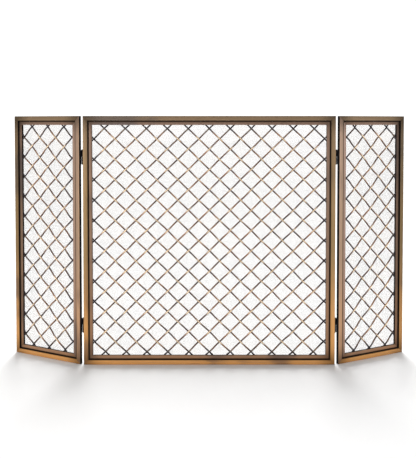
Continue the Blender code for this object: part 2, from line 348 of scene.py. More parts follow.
def rail_section(panel):
    """The box section's outline, with softer edges at the front."""
    sizes = bpy.context.scene.screen_sizes
    face = panel.span("rail")[1]
    front = sizes.edge_radius
    back = sizes.back_radius
    return rounded([
        (0.0, 0.0, front),
        (face, 0.0, front * 0.35),
        (face, panel.depth, back),
        (0.0, panel.depth, back),
    ])


def trim_section(panel):
    """The folded trim strip: flange in the groove, web, and the band round the opening."""
    sizes = bpy.context.scene.screen_sizes
    start, end, front, web_back = panel.span("trim")
    start -= SEAL
    web = start + sizes.groove_width
    strip = sizes.strip
    soft = strip * 0.45
    return rounded([
        (start, sizes.groove_floor, 0.0),
        (web, sizes.groove_floor, 0.0),
        (web, front, soft),
        (end, front, soft),
        (end, front + strip, 0.0),
        (web + strip, front + strip, 0.0),
        (web + strip, web_back, 0.0),
        (web, web_back, 0.0),
        (web, sizes.groove_floor + strip, 0.0),
        (start, sizes.groove_floor + strip, 0.0),
    ], steps=3)


def retainer_section(panel):
    """The flat bar that clamps the spark mesh."""
    start, end, front, back = panel.span("retainer")
    start -= SEAL
    soft = (back - front) * 0.3
    return rounded([(start, front, 0.0), (end, front, 0.0), (end, back, soft), (start, back, soft)], steps=3)


# Node helpers

def plug(tree, value, target):
    """Link a value that comes from a node, or set one that doesn't."""
    if isinstance(value, bpy.types.Node):
        value = value.outputs[0]
    elif isinstance(value, Field):
        value = value.socket
    if isinstance(value, bpy.types.NodeSocket):
        tree.links.new(value, target)
    elif value is not None:
        target.default_value = value


def maths(operation, backwards=False):
    """A method of Field that adds one maths node."""
    def method(self, other=None):
        node = self.tree.nodes.new("ShaderNodeMath")
        node.operation = operation
        values = (other, self) if backwards else (self, other)
        for index, value in enumerate(values):
            plug(self.tree, value, node.inputs[index])
        return Field(self.tree, node.outputs[0])

    return method


class Field:
    """A socket in a node tree, so that sums on fields read as sums."""

    __add__ = maths("ADD")
    __radd__ = maths("ADD", True)
    __sub__ = maths("SUBTRACT")
    __rsub__ = maths("SUBTRACT", True)
    __mul__ = maths("MULTIPLY")
    __rmul__ = maths("MULTIPLY", True)
    __truediv__ = maths("DIVIDE")
    floor = maths("FLOOR")
    cosine = maths("COSINE")
    size = maths("ABSOLUTE")
    least = maths("MINIMUM")
    most = maths("MAXIMUM")

    def __init__(self, tree, socket):
        self.tree = tree
        self.socket = socket

    def ramp(self, start, end):
        """0 at start and 1 at end, eased at both."""
        node = self.tree.nodes.new("ShaderNodeMapRange")
        node.interpolation_type = "SMOOTHSTEP"
        for name, value in (("Value", self), ("From Min", start), ("From Max", end)):
            plug(self.tree, value, node.inputs[name])
        return Field(self.tree, node.outputs["Result"])


class Tree:
    """A node tree under construction, with one method for every other kind of node."""

    def __init__(self, tree):
        self.tree = tree

    def node(self, kind, settings=None, sockets=None):
        """Add a node: its settings first, then the values or links of its sockets."""
        made = self.tree.nodes.new(kind)
        for name, value in (settings or {}).items():
            setattr(made, name, value)
        for name, value in (sockets or {}).items():
            plug(self.tree, value, made.inputs[name])
        return made

    def field(self, socket):
        return Field(self.tree, socket)

    def split(self, vector):
        """The three numbers of a vector."""
        node = self.node("ShaderNodeSeparateXYZ", sockets={0: vector})
        return tuple(self.field(output) for output in node.outputs)

    def join(self, x, y, z):
        """A vector from three numbers."""
        return self.node("ShaderNodeCombineXYZ", sockets={0: x, 1: y, 2: z})


class GeometryTree(Tree):
    """A Geometry Nodes tree with named inputs."""

    def __init__(self, name, floats=(), others=()):
        super().__init__(bpy.data.node_groups.new(name, "GeometryNodeTree"))
        self.tree.interface.new_socket("Geometry", in_out="OUTPUT", socket_type="NodeSocketGeometry")
        numbers = [(label, "Float") for label in floats]
        for label, kind in (*numbers, *others, ("Finish", "Material")):
            self.tree.interface.new_socket(label, in_out="INPUT", socket_type=f"NodeSocket{kind}")
        self.entry = self.tree.nodes.new("NodeGroupInput")
        self.exit = self.tree.nodes.new("NodeGroupOutput")

    def given(self, label):
        """One of the tree's own inputs."""
        return self.field(self.entry.outputs[label])

    def keep(self, geometry, name, value, kind="FLOAT"):
        """Store a value on every point of the geometry."""
        return self.node("GeometryNodeStoreNamedAttribute", {"data_type": kind, "domain": "POINT"}, {
            "Geometry": geometry, "Name": name, "Value": value})

    def tube(self, curve, sides, radius):
        """A round tube along a curve."""
        ring = self.node("GeometryNodeCurvePrimitiveCircle", {"mode": "RADIUS"}, {
            "Resolution": sides, "Radius": radius})
        return self.node("GeometryNodeCurveToMesh", sockets={
            "Curve": curve, "Profile Curve": ring, "Fill Caps": True})

    def row(self, count, start, step, shape, turn=None):
        """Copies of a shape along a line."""
        line = self.node("GeometryNodeMeshLine", {"mode": "OFFSET"}, {
            "Count": count, "Start Location": start, "Offset": step})
        return self.node("GeometryNodeInstanceOnPoints", sockets={
            "Points": line, "Instance": shape, "Rotation": turn})

    def joined(self, parts):
        """Several geometries as one."""
        made = self.node("GeometryNodeJoinGeometry")
        for part in parts:
            plug(self.tree, part, made.inputs[0])
        return made

    def finish(self, geometry):
        """End the tree in Realize Instances and Set Material."""
        real = self.node("GeometryNodeRealizeInstances", sockets={0: geometry})
        painted = self.node("GeometryNodeSetMaterial", sockets={
            "Geometry": real, "Material": self.given("Finish")})
        plug(self.tree, painted, self.exit.inputs[0])


def grow(name, tree, values):
    """Run a geometry tree with the given inputs and return its result as a plain mesh object."""
    mesh = bpy.data.meshes.new(name)
    item = add_object(name, mesh)
    modifier = item.modifiers.new("Pattern", "NODES")
    modifier.node_group = tree.tree
    sockets = {entry.name: entry.identifier for entry in tree.tree.interface.items_tree}
    for label, value in values.items():
        modifier[sockets[label]] = value
    evaluated = item.evaluated_get(bpy.context.evaluated_depsgraph_get())
    plain = bpy.data.meshes.new_from_object(evaluated)
    item.modifiers.clear()
    item.data = plain
    plain.name = name
    bpy.data.meshes.remove(mesh)
    if not plain.polygons:
        raise RuntimeError(f"the tree for {name} made nothing")
    return item


def hang(item, panel, smooth_angle, slot, kind):
    """Shade a pattern grown round the middle of its panel, and put it there."""
    item.data.shade_smooth()
    item.data.set_sharp_from_angle(angle=math.radians(smooth_angle))
    item.data.transform(Matrix.Translation((0.0, 0.0, panel.height / 2)))
    panel.fit(item, slot, f"{panel.name}_{kind}")


# The woven lattice

ROD_SIDES = 10
ROD_STEPS = 190
ROD_SPACING = 0.0062  # between the rings of a rod's mesh
WAVER_SCALE = 17.0  # waves to the metre in the rods' drift
HALF_PITCHES = (0.03, 0.04)  # the least and greatest half pitch looked for


def woven_tree():
    """Rods on both diagonals, each passing over and under the ones that cross it."""
    floats = (
        "Pitch Across", "Pitch Up", "Shift", "Half Width", "Half Height", "Opening Half Width",
        "Opening Half Height", "Rod Radius", "Crimp", "Depth", "End Depth", "Settling", "Waver",
    )
    tree = GeometryTree("Woven lattice", floats, [("Rods", "Int")])
    tree.finish(tree.joined([rod_family(tree, lean) for lean in (1, -1)]))
    return tree


def rod_family(tree, lean):
    """All the rods that lean one way: 1 rises to the right, -1 falls to the right."""
    count = tree.given("Rods")
    points = tree.node("GeometryNodePoints", sockets={"Count": count * float(ROD_STEPS)})
    index = tree.field(tree.node("GeometryNodeInputIndex").outputs[0])
    rod = ((index + 0.5) / float(ROD_STEPS)).floor()
    along = (index - rod * float(ROD_STEPS)) / float(ROD_STEPS - 1)
    offset = rod * 2.0 - (count - 1.0)
    pitch_x = tree.given("Pitch Across")
    pitch_z = tree.given("Pitch Up")
    shift = tree.given("Shift")
    reach = tree.given("Half Height") / pitch_z
    first = ((-1.0 * tree.given("Half Width") - shift) / pitch_x).most(offset * float(-lean) - reach)
    last = ((tree.given("Half Width") - shift) / pitch_x).least(offset * float(-lean) + reach)
    column = first + (last - first) * along
    row = column * float(lean) + offset
    across = shift + column * pitch_x
    up = row * pitch_z
    edge = (tree.given("Opening Half Width") - across.size()).least(
        tree.given("Opening Half Height") - up.size())
    settled = edge.ramp(0.0, tree.given("Settling"))
    swing = (row * math.pi).cosine() * tree.given("Crimp") * float(-lean)
    end_depth = tree.given("End Depth")
    depth = end_depth + (tree.given("Depth") - end_depth - swing) * settled
    place = tree.node("GeometryNodeSetPosition", sockets={
        "Geometry": points, "Position": tree.join(across, depth, up)})
    rods = tree.node("GeometryNodePointsToCurves", sockets={
        "Points": place, "Curve Group ID": rod, "Weight": along})
    bent = tree.node("GeometryNodeSetPosition", sockets={
        "Geometry": tree.keep(rods, EDGE, edge), "Offset": hand_waver(tree)})
    even = tree.node("GeometryNodeResampleCurve", {"mode": "LENGTH"}, {
        "Curve": bent, "Length": ROD_SPACING})
    tubes = tree.tube(even, ROD_SIDES, tree.given("Rod Radius"))
    facing = tree.split(tree.node("GeometryNodeInputNormal"))[2]
    place_now = tree.node("GeometryNodeInputPosition")
    return tree.keep(tree.keep(tubes, UPWARD, facing), BENCH, place_now, "FLOAT_VECTOR")


def hand_waver(tree):
    """A slow drift in the rods' places, as hand weaving leaves it."""
    noise = tree.node("ShaderNodeTexNoise", {"noise_dimensions": "3D"}, {
        "Vector": tree.node("GeometryNodeInputPosition"), "Scale": WAVER_SCALE, "Detail": 1.0,
        "Roughness": 0.5})
    red, _, blue = tree.split(noise.outputs["Color"])
    waver = tree.given("Waver")
    return tree.join((red - 0.5) * waver * 2.0, 0.0, (blue - 0.5) * waver * 2.0)


def lattice_pattern(panel):
    """The weave's half pitches, sideways shift and half sizes, read from the panel's lattice node."""
    points = node_points(f"{panel.name}_lattice") - np.array(panel.origin)
    across = points @ np.array(panel.across)
    up = points[:, 2] - panel.height / 2
    half_width = float(np.abs(across).max())
    half_height = float(np.abs(up).max())
    inside = (np.abs(across) < half_width - HAIRLINE) & (np.abs(up) < half_height - HAIRLINE)
    levels = cluster(up[inside])
    columns = cluster(across[inside])
    pitch_up = half_pitch(levels)
    pitch_across = half_pitch(columns)
    middle = [value for value in columns if abs(value) < pitch_across / 2]
    return pitch_across, pitch_up, sum(middle) / len(middle), half_width, half_height


def cluster(values):
    """Distinct values, sorted."""
    return sorted(set(np.round(values, 5).tolist()))


def half_pitch(values):
    """The step that a run of evenly repeated values makes, from their longest repeat."""
    spans = {}
    for low in values:
        for high in values:
            span = round(high - low, 4)
            if HALF_PITCHES[0] < span < HALF_PITCHES[1]:
                spans[span] = spans.get(span, 0) + 1
    return max(spans, key=spans.get)


# Screws

def screw_tree():
    """Screw heads along a line, each turned a little differently."""
    tree = GeometryTree("Screw row", others=[
        ("Count", "Int"), ("Start", "Vector"), ("Step", "Vector"), ("Head", "Object"),
        ("Turn", "Vector"), ("Seed", "Int")])
    head = tree.node("GeometryNodeObjectInfo", {"transform_space": "ORIGINAL"}, {
        "Object": tree.given("Head")})
    spin = tree.node("FunctionNodeRandomValue", {"data_type": "FLOAT"}, {
        "Min": 0.0, "Max": math.pi, "Seed": tree.given("Seed")})
    spin_value = next(output for output in spin.outputs if output.enabled)
    own_turn = tree.node("FunctionNodeEulerToRotation", sockets={0: tree.join(0.0, 0.0, spin_value)})
    face_turn = tree.node("FunctionNodeEulerToRotation", sockets={0: tree.given("Turn")})
    turned = tree.node("FunctionNodeRotateRotation", {"rotation_space": "LOCAL"}, {
        0: face_turn, 1: own_turn})
    tree.finish(tree.row(
        tree.given("Count"), tree.given("Start"), tree.given("Step"), head.outputs["Geometry"], turned))
    return tree


SLOT_SHARE = 0.62  # how far the cross slot reaches out over the head
SLOT_WIDTH_SHARE = 0.09


def screw_head(radius, height):
    """A low domed head facing +Z, with a cross slot sunk in it."""
    builder = bmesh.new()
    outline = cross_outline(radius * SLOT_SHARE, radius * SLOT_WIDTH_SHARE)

    def ring(share, level):
        made = []
        for x, y in outline:
            angle = math.atan2(y, x)
            reach = radius * share
            made.append(builder.verts.new((reach * math.cos(angle), reach * math.sin(angle), level)))
        return made

    floor_ring = [builder.verts.new((x * 0.9, y * 0.9, height * 0.45)) for x, y in outline]
    lip = [builder.verts.new((x, y, height * 0.97)) for x, y in outline]
    skin(builder, [floor_ring, lip, ring(0.85, height * 0.8), ring(1.0, 0.0)])
    item = link_mesh("screw_head_pattern", builder, bpy.data.materials[0], smooth_angle=40.0)
    bpy.context.scene.collection.objects.unlink(item)
    return item


def cross_outline(reach, half):
    """The outline of a cross, with extra points so that a head can be drawn round it."""
    points = []
    for quarter in range(4):
        angle = quarter * math.pi / 2
        cosine = math.cos(angle)
        sine = math.sin(angle)
        for x, y in ((reach, -half), (reach, half), (reach * 0.5, half), (half, half), (half, reach * 0.5)):
            points.append((x * cosine - y * sine, x * sine + y * cosine))
    return points


# Materials

class Finish(Tree):
    """A material under construction."""

    def __init__(self, name, metallic=0.0, roughness=0.5, specular=0.5):
        self.material = bpy.data.materials.new(name)
        self.material.use_nodes = True
        super().__init__(self.material.node_tree)
        self.shader = self.tree.nodes["Principled BSDF"]
        self.shader.inputs["Metallic"].default_value = metallic
        self.shader.inputs["Roughness"].default_value = roughness
        self.shader.inputs["Specular IOR Level"].default_value = specular

    def place(self):
        """Where a point of the object is."""
        return self.node("ShaderNodeTexCoord").outputs["Object"]

    def bench(self):
        """Where a point lay before its piece was fitted."""
        return self.node("ShaderNodeAttribute", {"attribute_name": BENCH}).outputs["Vector"]

    def amount(self, name):
        """The number that an attribute holds."""
        return self.field(self.node("ShaderNodeAttribute", {"attribute_name": name}).outputs["Fac"])

    def scaled(self, vector, scales):
        return self.node("ShaderNodeVectorMath", {"operation": "MULTIPLY"}, {0: vector, 1: scales})

    def noise(self, vector, scale, detail=3.0, roughness=0.5):
        made = self.node("ShaderNodeTexNoise", {"noise_dimensions": "3D"}, {
            "Vector": vector, "Scale": scale, "Detail": detail, "Roughness": roughness})
        return self.field(made.outputs["Fac"])

    def blend(self, share, first, second):
        """First where share is 0, second where it is 1."""
        made = self.node("ShaderNodeMix", {"data_type": "RGBA", "clamp_factor": True}, {0: share})
        for index, value in ((6, first), (7, second)):
            is_socket = isinstance(value, bpy.types.NodeSocket)
            plug(self.tree, value if is_socket else (*value, 1.0), made.inputs[index])
        return made.outputs[2]

    def tint(self, colour, share):
        """A colour made lighter or darker by a number near 1."""
        return self.node("ShaderNodeVectorMath", {"operation": "SCALE"}, {
            0: colour, "Scale": share}).outputs[0]

    def feed(self, name, value):
        plug(self.tree, value, self.shader.inputs[name])

    def bump(self, height, distance, strength=1.0):
        self.feed("Normal", self.node("ShaderNodeBump", sockets={
            "Height": height, "Distance": distance, "Strength": strength}))


def bronze_bar(name, colours, front, narrow, evenness, nook_shading):
    """Rubbed bronze along a bar: brushed lengthways, worn and given a painted highlight at its edge, darker
    in its corners, with painted shade by the groove and painted light and shade by height and bar.

    front is the depth of the bronze face, narrow holds the face's two edges, evenness is how little its
    colour changes with height, which paints floor light and top shade, and the last argument is how much
    painted shade darkens the edge by the groove.
    """
    made = Finish(name, metallic=0.5, roughness=0.42, specular=0.08)
    bench = made.bench()
    corner = made.amount(CORNER)
    rubbing = made.amount(RUB_AND_LIGHT)
    along, inward, deep = made.split(bench)
    place = made.place()
    left, _, height = made.split(place)
    top = CAD_BOX[1].z
    grain = made.noise(made.scaled(bench, (22.0, 2600.0, 2600.0)), 1.0, 3.0, 0.6)
    streak = made.noise(made.scaled(bench, (6.0, 420.0, 420.0)), 1.0, 2.0)
    cloud = made.noise(made.scaled(place, (1.0, 1.0, 0.8)), 5.5, 2.0, 0.5)
    speck = made.noise(place, 260.0, 2.0)
    # Painted light from the floor low down and painted shade at the top: the bronze changes with height.
    low = made.blend(height.ramp(top * 0.08, top * 0.48), colours.floor_lit_bronze, colours.mid_bronze)
    body = made.blend(height.ramp(top * 0.6, top * 0.98), low, colours.top_shaded_bronze)
    body = made.blend(evenness, body, colours.band)
    copper = rubbing.ramp(0.84, 0.95)
    body = made.blend(streak.ramp(0.5, 0.75) * 0.3 + copper * 0.55, body, colours.rose)
    centre = PANEL_FRAMES["centre"].width / 2
    smoky = left.ramp(-centre - 0.01, -centre + 0.01) * (1.0 - left.ramp(-centre * 0.72, -centre * 0.2))
    old = (cloud + (streak - 0.5) * 0.35 + smoky * height.ramp(top * 0.9, top) * 0.16).ramp(0.56, 0.72)
    body = made.blend(old * 0.62, body, colours.slate)
    start, end = narrow
    width = end - start
    # Gold on the outer edge: partly wear, partly a painted highlight where the rounded edge catches the
    # light.
    rim = 1.0 - inward.ramp(start, start + width * 0.12)
    worn = rim * (streak + grain * 0.4).ramp(0.45, 0.8)
    body = made.blend(worn * 0.6, body, colours.gold)
    # Painted shade: the edge of the face next to the groove is darkened towards umber.
    if front == 0.0:
        nook = inward.ramp(end - width * 0.16, end - width * 0.02)
    else:
        nook = 1.0 - inward.ramp(start, start + width * 0.22)
    nook_shade = nook * nook_shading
    aged = 1.0 - (1.0 - (corner + (cloud - 0.5) * 0.03).ramp(0.0, 0.075)) * 0.55
    # Brightness per bar: partly real rubbing, partly painted light and shade.
    tone = (grain * 0.3 + 0.85) * aged * (rubbing * 0.75 + 0.55 - copper * 0.33)
    body = made.tint(body, tone)
    face = 1.0 - (deep + (speck - 0.5) * 0.0003).ramp(front + 0.0001, front + 0.0006)
    body = made.blend(nook_shade, body, colours.umber)
    # Faces behind the bronze face: black or groove-brown paint that also stands in for the shade in the
    # groove and in the gaps between panels.
    side_paint_and_shade = colours.groove if evenness else colours.black
    made.feed("Base Color", made.blend(face, side_paint_and_shade, body))
    made.feed("Metallic", face * (1.0 - nook_shade) * 0.5)
    made.feed("Roughness", 0.6 - face * 0.2 + (grain - 0.5) * 0.22 + old * 0.1)
    made.bump(grain * 0.5 + speck * 0.25 + streak * 0.4, 0.00006, 0.6)
    return made.material


def woven_rod(name, colours):
    """Rods rubbed to gold on their crests, with a painted highlight there, and left dark where they dip and
    end, with painted shade there and on their undersides.
    """
    made = Finish(name, metallic=0.5, roughness=0.4, specular=0.35)
    sizes = bpy.context.scene.screen_sizes
    bench = made.bench()
    deep = made.split(bench)[1]
    edge = made.amount(EDGE)
    crest = sizes.rod_depth - sizes.crimp - sizes.rod / 2
    run = sizes.rod_depth - sizes.rod / 2
    cloud = made.noise(bench, 24.0, 2.0, 0.5)
    fine = made.noise(bench, 900.0, 2.0, 0.6)
    upward = made.amount(UPWARD)
    drift = made.noise(bench, 6.0, 1.0)
    # Painted highlight on the crests where rods cross, over their rubbed gold.
    bright = 1.0 - (deep + (fine - 0.5) * 0.0006).ramp(crest + 0.0002, crest + 0.0013)
    # Dips behind crossing rods: unrubbed patina plus painted shade where a rod passes under another.
    dip_patina_and_shade = (deep + (cloud - 0.5) * 0.0016).ramp(run + 0.0001, run + sizes.crimp + 0.0005)
    body = made.blend(cloud.ramp(0.44, 0.6) * 0.75, colours.rod_brown, colours.rod_orange)
    body = made.blend(drift.ramp(0.5, 0.62) * 0.4, body, colours.slate)
    body = made.blend(dip_patina_and_shade * 0.5, body, colours.rod_dark_and_shade)
    body = made.blend(bright * 0.95, body, colours.crest)
    # Painted shade on the downward-facing skin of every rod.
    under = 1.0 - upward.ramp(-0.75, 0.15)
    body = made.blend(under * 0.6, body, colours.rod_dark_and_shade)
    # Near the opening's edge: painted shade where the rods pass behind the trim, plus their less rubbed
    # ends.
    ends = 1.0 - (edge + (cloud - 0.5) * 0.012).ramp(0.010, 0.034)
    body = made.blend(ends * 0.92, body, colours.rod_dark_and_shade)
    body = made.tint(body, 0.85 + fine * 0.3)
    made.feed("Base Color", body)
    made.feed("Metallic", 0.5 - ends * 0.3)
    made.feed("Roughness", 0.5 - bright * 0.14 + (fine - 0.5) * 0.2)
    made.bump(fine, 0.00005, 0.5)
    return made.material


def wire_cloth(name, colours):
    """Fine wire cloth with a slightly uneven lacquer."""
    made = Finish(name, metallic=0.4, roughness=0.45, specular=0.4)
    patch = made.noise(made.place(), 14.0, 2.0)
    fleck = made.noise(made.place(), 700.0, 1.0)
    colour = made.blend(patch.ramp(0.4, 0.65) * 0.5, colours.mesh, colours.mid_bronze)
    made.feed("Base Color", made.tint(colour, 0.8 + fleck * 0.4))
    made.feed("Roughness", 0.38 + fleck * 0.2)
    return made.material


def satin_black(name, colours, worn):
    """Sprayed black paint with a fine texture and, where worn is set, rubbed bare spots."""
    made = Finish(name, metallic=0.0, roughness=0.5, specular=0.2)
    place = made.place()
    peel = made.noise(place, 1400.0, 2.0)
    smear = made.noise(place, 38.0, 3.0)
    dust = made.noise(place, 160.0, 2.0)
    colour = made.blend(smear.ramp(0.52, 0.75) * 0.3, colours.black, colours.umber)
    colour = made.blend((dust * smear).ramp(0.33, 0.44) * worn, colour, colours.slate)
    made.feed("Base Color", colour)
    made.feed("Roughness", 0.42 + peel * 0.2 + smear * 0.12)
    made.bump(peel, 0.00004, 0.5)
    return made.material


def dark_steel(name, colours):
    """Blackened steel, polished a little where it turns or a driver has slipped."""
    made = Finish(name, metallic=0.8, roughness=0.35, specular=0.5)
    place = made.place()
    ring = made.noise(made.scaled(place, (300.0, 300.0, 4200.0)), 1.0, 2.0)
    rub = made.noise(place, 420.0, 2.0)
    colour = made.blend(rub.ramp(0.5, 0.7) * 0.5, colours.black, colours.slate)
    made.feed("Base Color", colour)
    made.feed("Roughness", 0.3 + ring * 0.25)
    made.bump(ring, 0.00003, 0.4)
    return made.material


def studio_floor(name, colours):
    """A matt pale floor with barely any texture."""
    made = Finish(name, metallic=0.0, roughness=0.9, specular=0.0)
    patch = made.noise(made.place(), 2.0, 2.0)
    made.feed("Base Color", made.blend(patch * 0.02, colours.floor, colours.mesh))
    return made.material


def finish_named(name, maker, *settings):
    """The material of that name, made in the scene's colours the first time it is asked for."""
    found = bpy.data.materials.get(name)
    return found or maker(name, bpy.context.scene.screen_colours, *settings)


# Operators

class SCREEN_OT_rails(bpy.types.Operator):
    """Mitred box-section rails round every panel"""

    bl_idname = "fire_screen.rails"
    bl_label = "Rails"

    def execute(self, context):
        face = PANEL_FRAMES["centre"].span("rail")[1]
        material = finish_named("rail_bronze", bronze_bar, 0.0, (0.0, face), 0.0, 0.55)
        make_bars("rail", rail_section, material, "frame_bronze")
        return {"FINISHED"}


class SCREEN_OT_trims(bpy.types.Operator):
    """Stepped trim strips inside the rails"""

    bl_idname = "fire_screen.trims"
    bl_label = "Trims"

    def execute(self, context):
        start, end, front, _ = PANEL_FRAMES["centre"].span("trim")
        band = (start + context.scene.screen_sizes.groove_width - SEAL, end)
        material = finish_named("trim_band_bronze", bronze_bar, front, band, 0.7, 0.85)
        make_bars("trim", trim_section, material, "trim_bronze")
        return {"FINISHED"}


class SCREEN_OT_lattices(bpy.types.Operator):
    """Woven rod lattices, one to a panel"""

    bl_idname = "fire_screen.lattices"
    bl_label = "Lattices"

    def execute(self, context):
        sizes = context.scene.screen_sizes
        material = finish_named("woven_rod_bronze", woven_rod)
        tree = woven_tree()
        for panel in PANEL_FRAMES.values():
            pitch_across, pitch_up, shift, half_width, half_height = lattice_pattern(panel)
            border = panel.span("trim")[1]
            corner = half_width / pitch_across + half_height / pitch_up
            item = grow(f"{panel.name}_woven_lattice", tree, {
                "Pitch Across": pitch_across,
                "Pitch Up": pitch_up,
                "Shift": shift,
                "Half Width": half_width,
                "Half Height": half_height,
                "Opening Half Width": panel.width / 2 - border,
                "Opening Half Height": panel.height / 2 - border,
                "Rod Radius": sizes.rod / 2,
                "Crimp": sizes.crimp,
                "Depth": sizes.rod_depth,
                "End Depth": sizes.rod_end_depth,
                "Settling": sizes.settle,
                "Waver": sizes.waver,
                "Rods": 2 * math.floor((corner - 1) / 2 + 0.5),
                "Finish": material,
            })
            hang(item, panel, 60, "lattice_bronze", "lattice")
        return {"FINISHED"}


WIRE_SIDES = 5


def cloth_tree():
    """Two layers of straight fine wires, one upright and one level."""
    floats = ("Half Width", "Half Height", "Pitch", "Wire Radius", "Depth")
    tree = GeometryTree("Wire cloth", floats)
    layers = []
    for upright in (True, False):

        def point(aside, deep, lengthways):
            places = (aside, deep, lengthways) if upright else (lengthways, deep, aside)
            return tree.join(*places)

        run = tree.given("Half Height" if upright else "Half Width")
        spread = tree.given("Half Width" if upright else "Half Height")
        radius = tree.given("Wire Radius")
        depth = tree.given("Depth") + radius * (-0.97 if upright else 0.97)
        step = tree.given("Pitch")
        half_count = (spread / step).floor()
        wire = tree.node("GeometryNodeCurvePrimitiveLine", {"mode": "POINTS"}, {
            "Start": point(0.0, 0.0, -1.0 * run), "End": point(0.0, 0.0, run)})
        layers.append(tree.row(
            half_count * 2.0 + 1.0, point(-1.0 * (half_count * step), depth, 0.0), point(step, 0.0, 0.0),
            tree.tube(wire, WIRE_SIDES, radius)))
    tree.finish(tree.joined(layers))
    return tree


class SCREEN_OT_spark_mesh(bpy.types.Operator):
    """Fine wire cloth behind each lattice"""

    bl_idname = "fire_screen.spark_mesh"
    bl_label = "Spark mesh"

    def execute(self, context):
        sizes = context.scene.screen_sizes
        material = finish_named("spark_wire", wire_cloth)
        tree = cloth_tree()
        for panel in PANEL_FRAMES.values():
            low, high = panel.box(f"{panel.name}_spark_mesh")
            item = grow(f"{panel.name}_wire_cloth", tree, {
                "Half Width": (high[0] - low[0]) / 2,
                "Half Height": (high[2] - low[2]) / 2,
                "Pitch": sizes.wire_pitch,
                "Wire Radius": sizes.wire / 2,
                "Depth": (high[1] + low[1]) / 2 + sizes.wire * 0.4,
                "Finish": material,
            })
            hang(item, panel, 80, "spark_mesh", "spark_mesh")
        return {"FINISHED"}


HEAD_RISE = 0.3  # how high a retainer screw's head stands, as a share of its radius
SCREW_INSET = 4.5  # the bar's width times this is left clear of screws, half at each end


class SCREEN_OT_retainers(bpy.types.Operator):
    """Flat bars that clamp the spark mesh, with their screws"""

    bl_idname = "fire_screen.retainers"
    bl_label = "Retainers"

    def execute(self, context):
        sizes = context.scene.screen_sizes
        paint = finish_named("retainer_paint", satin_black, 0.25)
        steel = finish_named("screw_steel", dark_steel)
        make_bars("retainer", retainer_section, paint, "retainer_black")
        head = screw_head(sizes.screw_radius, sizes.screw_radius * HEAD_RISE)
        tree = screw_tree()
        for panel in PANEL_FRAMES.values():
            for side in SIDES:
                self.screw_row(panel, side, tree, head, steel)
        bpy.data.objects.remove(head)
        return {"FINISHED"}

    def screw_row(self, panel, side, tree, head, steel):
        """The screws of one retainer, evenly spaced between its ends."""
        sizes = bpy.context.scene.screen_sizes
        node = panel.bar(side, "retainer")
        low, high = panel.box(node)
        axis, across = (0, 2) if side in ("top", "bottom") else (2, 0)
        run = high[axis] - low[axis] - SCREW_INSET * (high[across] - low[across])
        count = max(2, math.ceil(run / sizes.screw_spacing) + 1)
        start = [(near + far) / 2 for near, far in zip(low, high)]
        start[1] = high[1]
        start[axis] -= run / 2
        step = [0.0, 0.0, 0.0]
        step[axis] = run / (count - 1)
        item = grow(f"{node}_screws", tree, {
            "Count": count,
            "Start": tuple(start),
            "Step": tuple(step),
            "Head": head,
            "Turn": (-math.pi / 2, 0.0, 0.0),
            "Seed": len(node),
            "Finish": steel,
        })
        panel.fit(item, "pin_steel")


# Hinges

CURL_DEGREES = 285
CURL_STEPS = 26
LEAF_THICKNESS = 0.0014
BARREL_GAP = 0.0005  # from a hinge's middle to the start of each barrel
PIN_SIDES = 28
DOME_STEPS = 6
LEAF_BEVEL = 0.00025
HINGE_HEAD_SHARE = 0.85  # a hinge screw's radius as a share of a retainer screw's
HINGE_HEAD_RISE = 0.12  # how high its head stands, as a share of a retainer screw's radius


class Hinge:
    """One hinge's axis, sizes and leaf directions, read from the frame."""

    def __init__(self, name):
        self.name = name
        side = name.split("_")[0]
        joint = next(j for j in frame["joints"] if j["name"] == f"{side}_fold")
        self.axis = Vector((joint["pos_m"][0], joint["pos_m"][1], 0.0))
        self.out = -1 if side == "left" else 1
        self.panel = PANEL_FRAMES[side]
        low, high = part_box(f"{name}_hinge_centre_leaf")
        self.front = low[1] - self.axis.y
        self.radius = high[1] - self.axis.y
        self.half = (high[2] - low[2]) / 2
        self.middle = self.axis + FOLD_AXIS * (low[2] + high[2]) / 2


def leaf_mesh(hinge, barrel_on_top):
    """A leaf in its hinge's own frame: plate at +X running forwards, barrel round the axis."""
    outer = hinge.radius
    inner = outer - LEAF_THICKNESS
    clear = -(outer + HAIRLINE / 2)
    stations = [((inner, y), (outer, y)) for y in (hinge.front, clear)]
    for step in range(CURL_STEPS + 1):
        angle = math.radians(CURL_DEGREES) * step / CURL_STEPS
        direction = Vector((math.cos(angle), math.sin(angle)))
        stations.append((tuple(direction * inner), tuple(direction * outer)))
    half = hinge.half
    levels = (-half, -BARREL_GAP, BARREL_GAP, half)
    barrel = 2 if barrel_on_top else 0
    builder = bmesh.new()
    corners = {}

    def corner(level, index, rim):
        key = (level, index, rim)
        if key not in corners:
            x, y = stations[index][rim]
            corners[key] = builder.verts.new((x, y, levels[level]))
        return corners[key]

    cells = {(level, 0) for level in range(3)}
    cells |= {(barrel, index) for index in range(1, len(stations) - 1)}
    for level, index in cells:
        above, after = level + 1, index + 1
        walls = {
            (level - 1, index): ((level, index, 0), (level, after, 0), (level, after, 1), (level, index, 1)),
            (level + 1, index): ((above, index, 0), (above, index, 1), (above, after, 1), (above, after, 0)),
            (level, index - 1): ((level, index, 0), (level, index, 1), (above, index, 1), (above, index, 0)),
            (level, index + 1): ((level, after, 0), (above, after, 0), (above, after, 1), (level, after, 1)),
            "inside": ((level, index, 0), (above, index, 0), (above, after, 0), (level, after, 0)),
            "outside": ((level, index, 1), (level, after, 1), (above, after, 1), (above, index, 1)),
        }
        for neighbour, wall in walls.items():
            if neighbour not in cells:
                builder.faces.new([corner(*key) for key in wall])
    return builder


def turned_profile(builder, profile, sides):
    """A closed turned shape from (radius, height) points, bottom to top."""
    rings = []
    for radius, height in profile:
        ring = []
        for side in range(sides):
            angle = 2 * math.pi * side / sides
            ring.append(builder.verts.new((radius * math.cos(angle), radius * math.sin(angle), height)))
        rings.append(ring)
    skin(builder, rings)


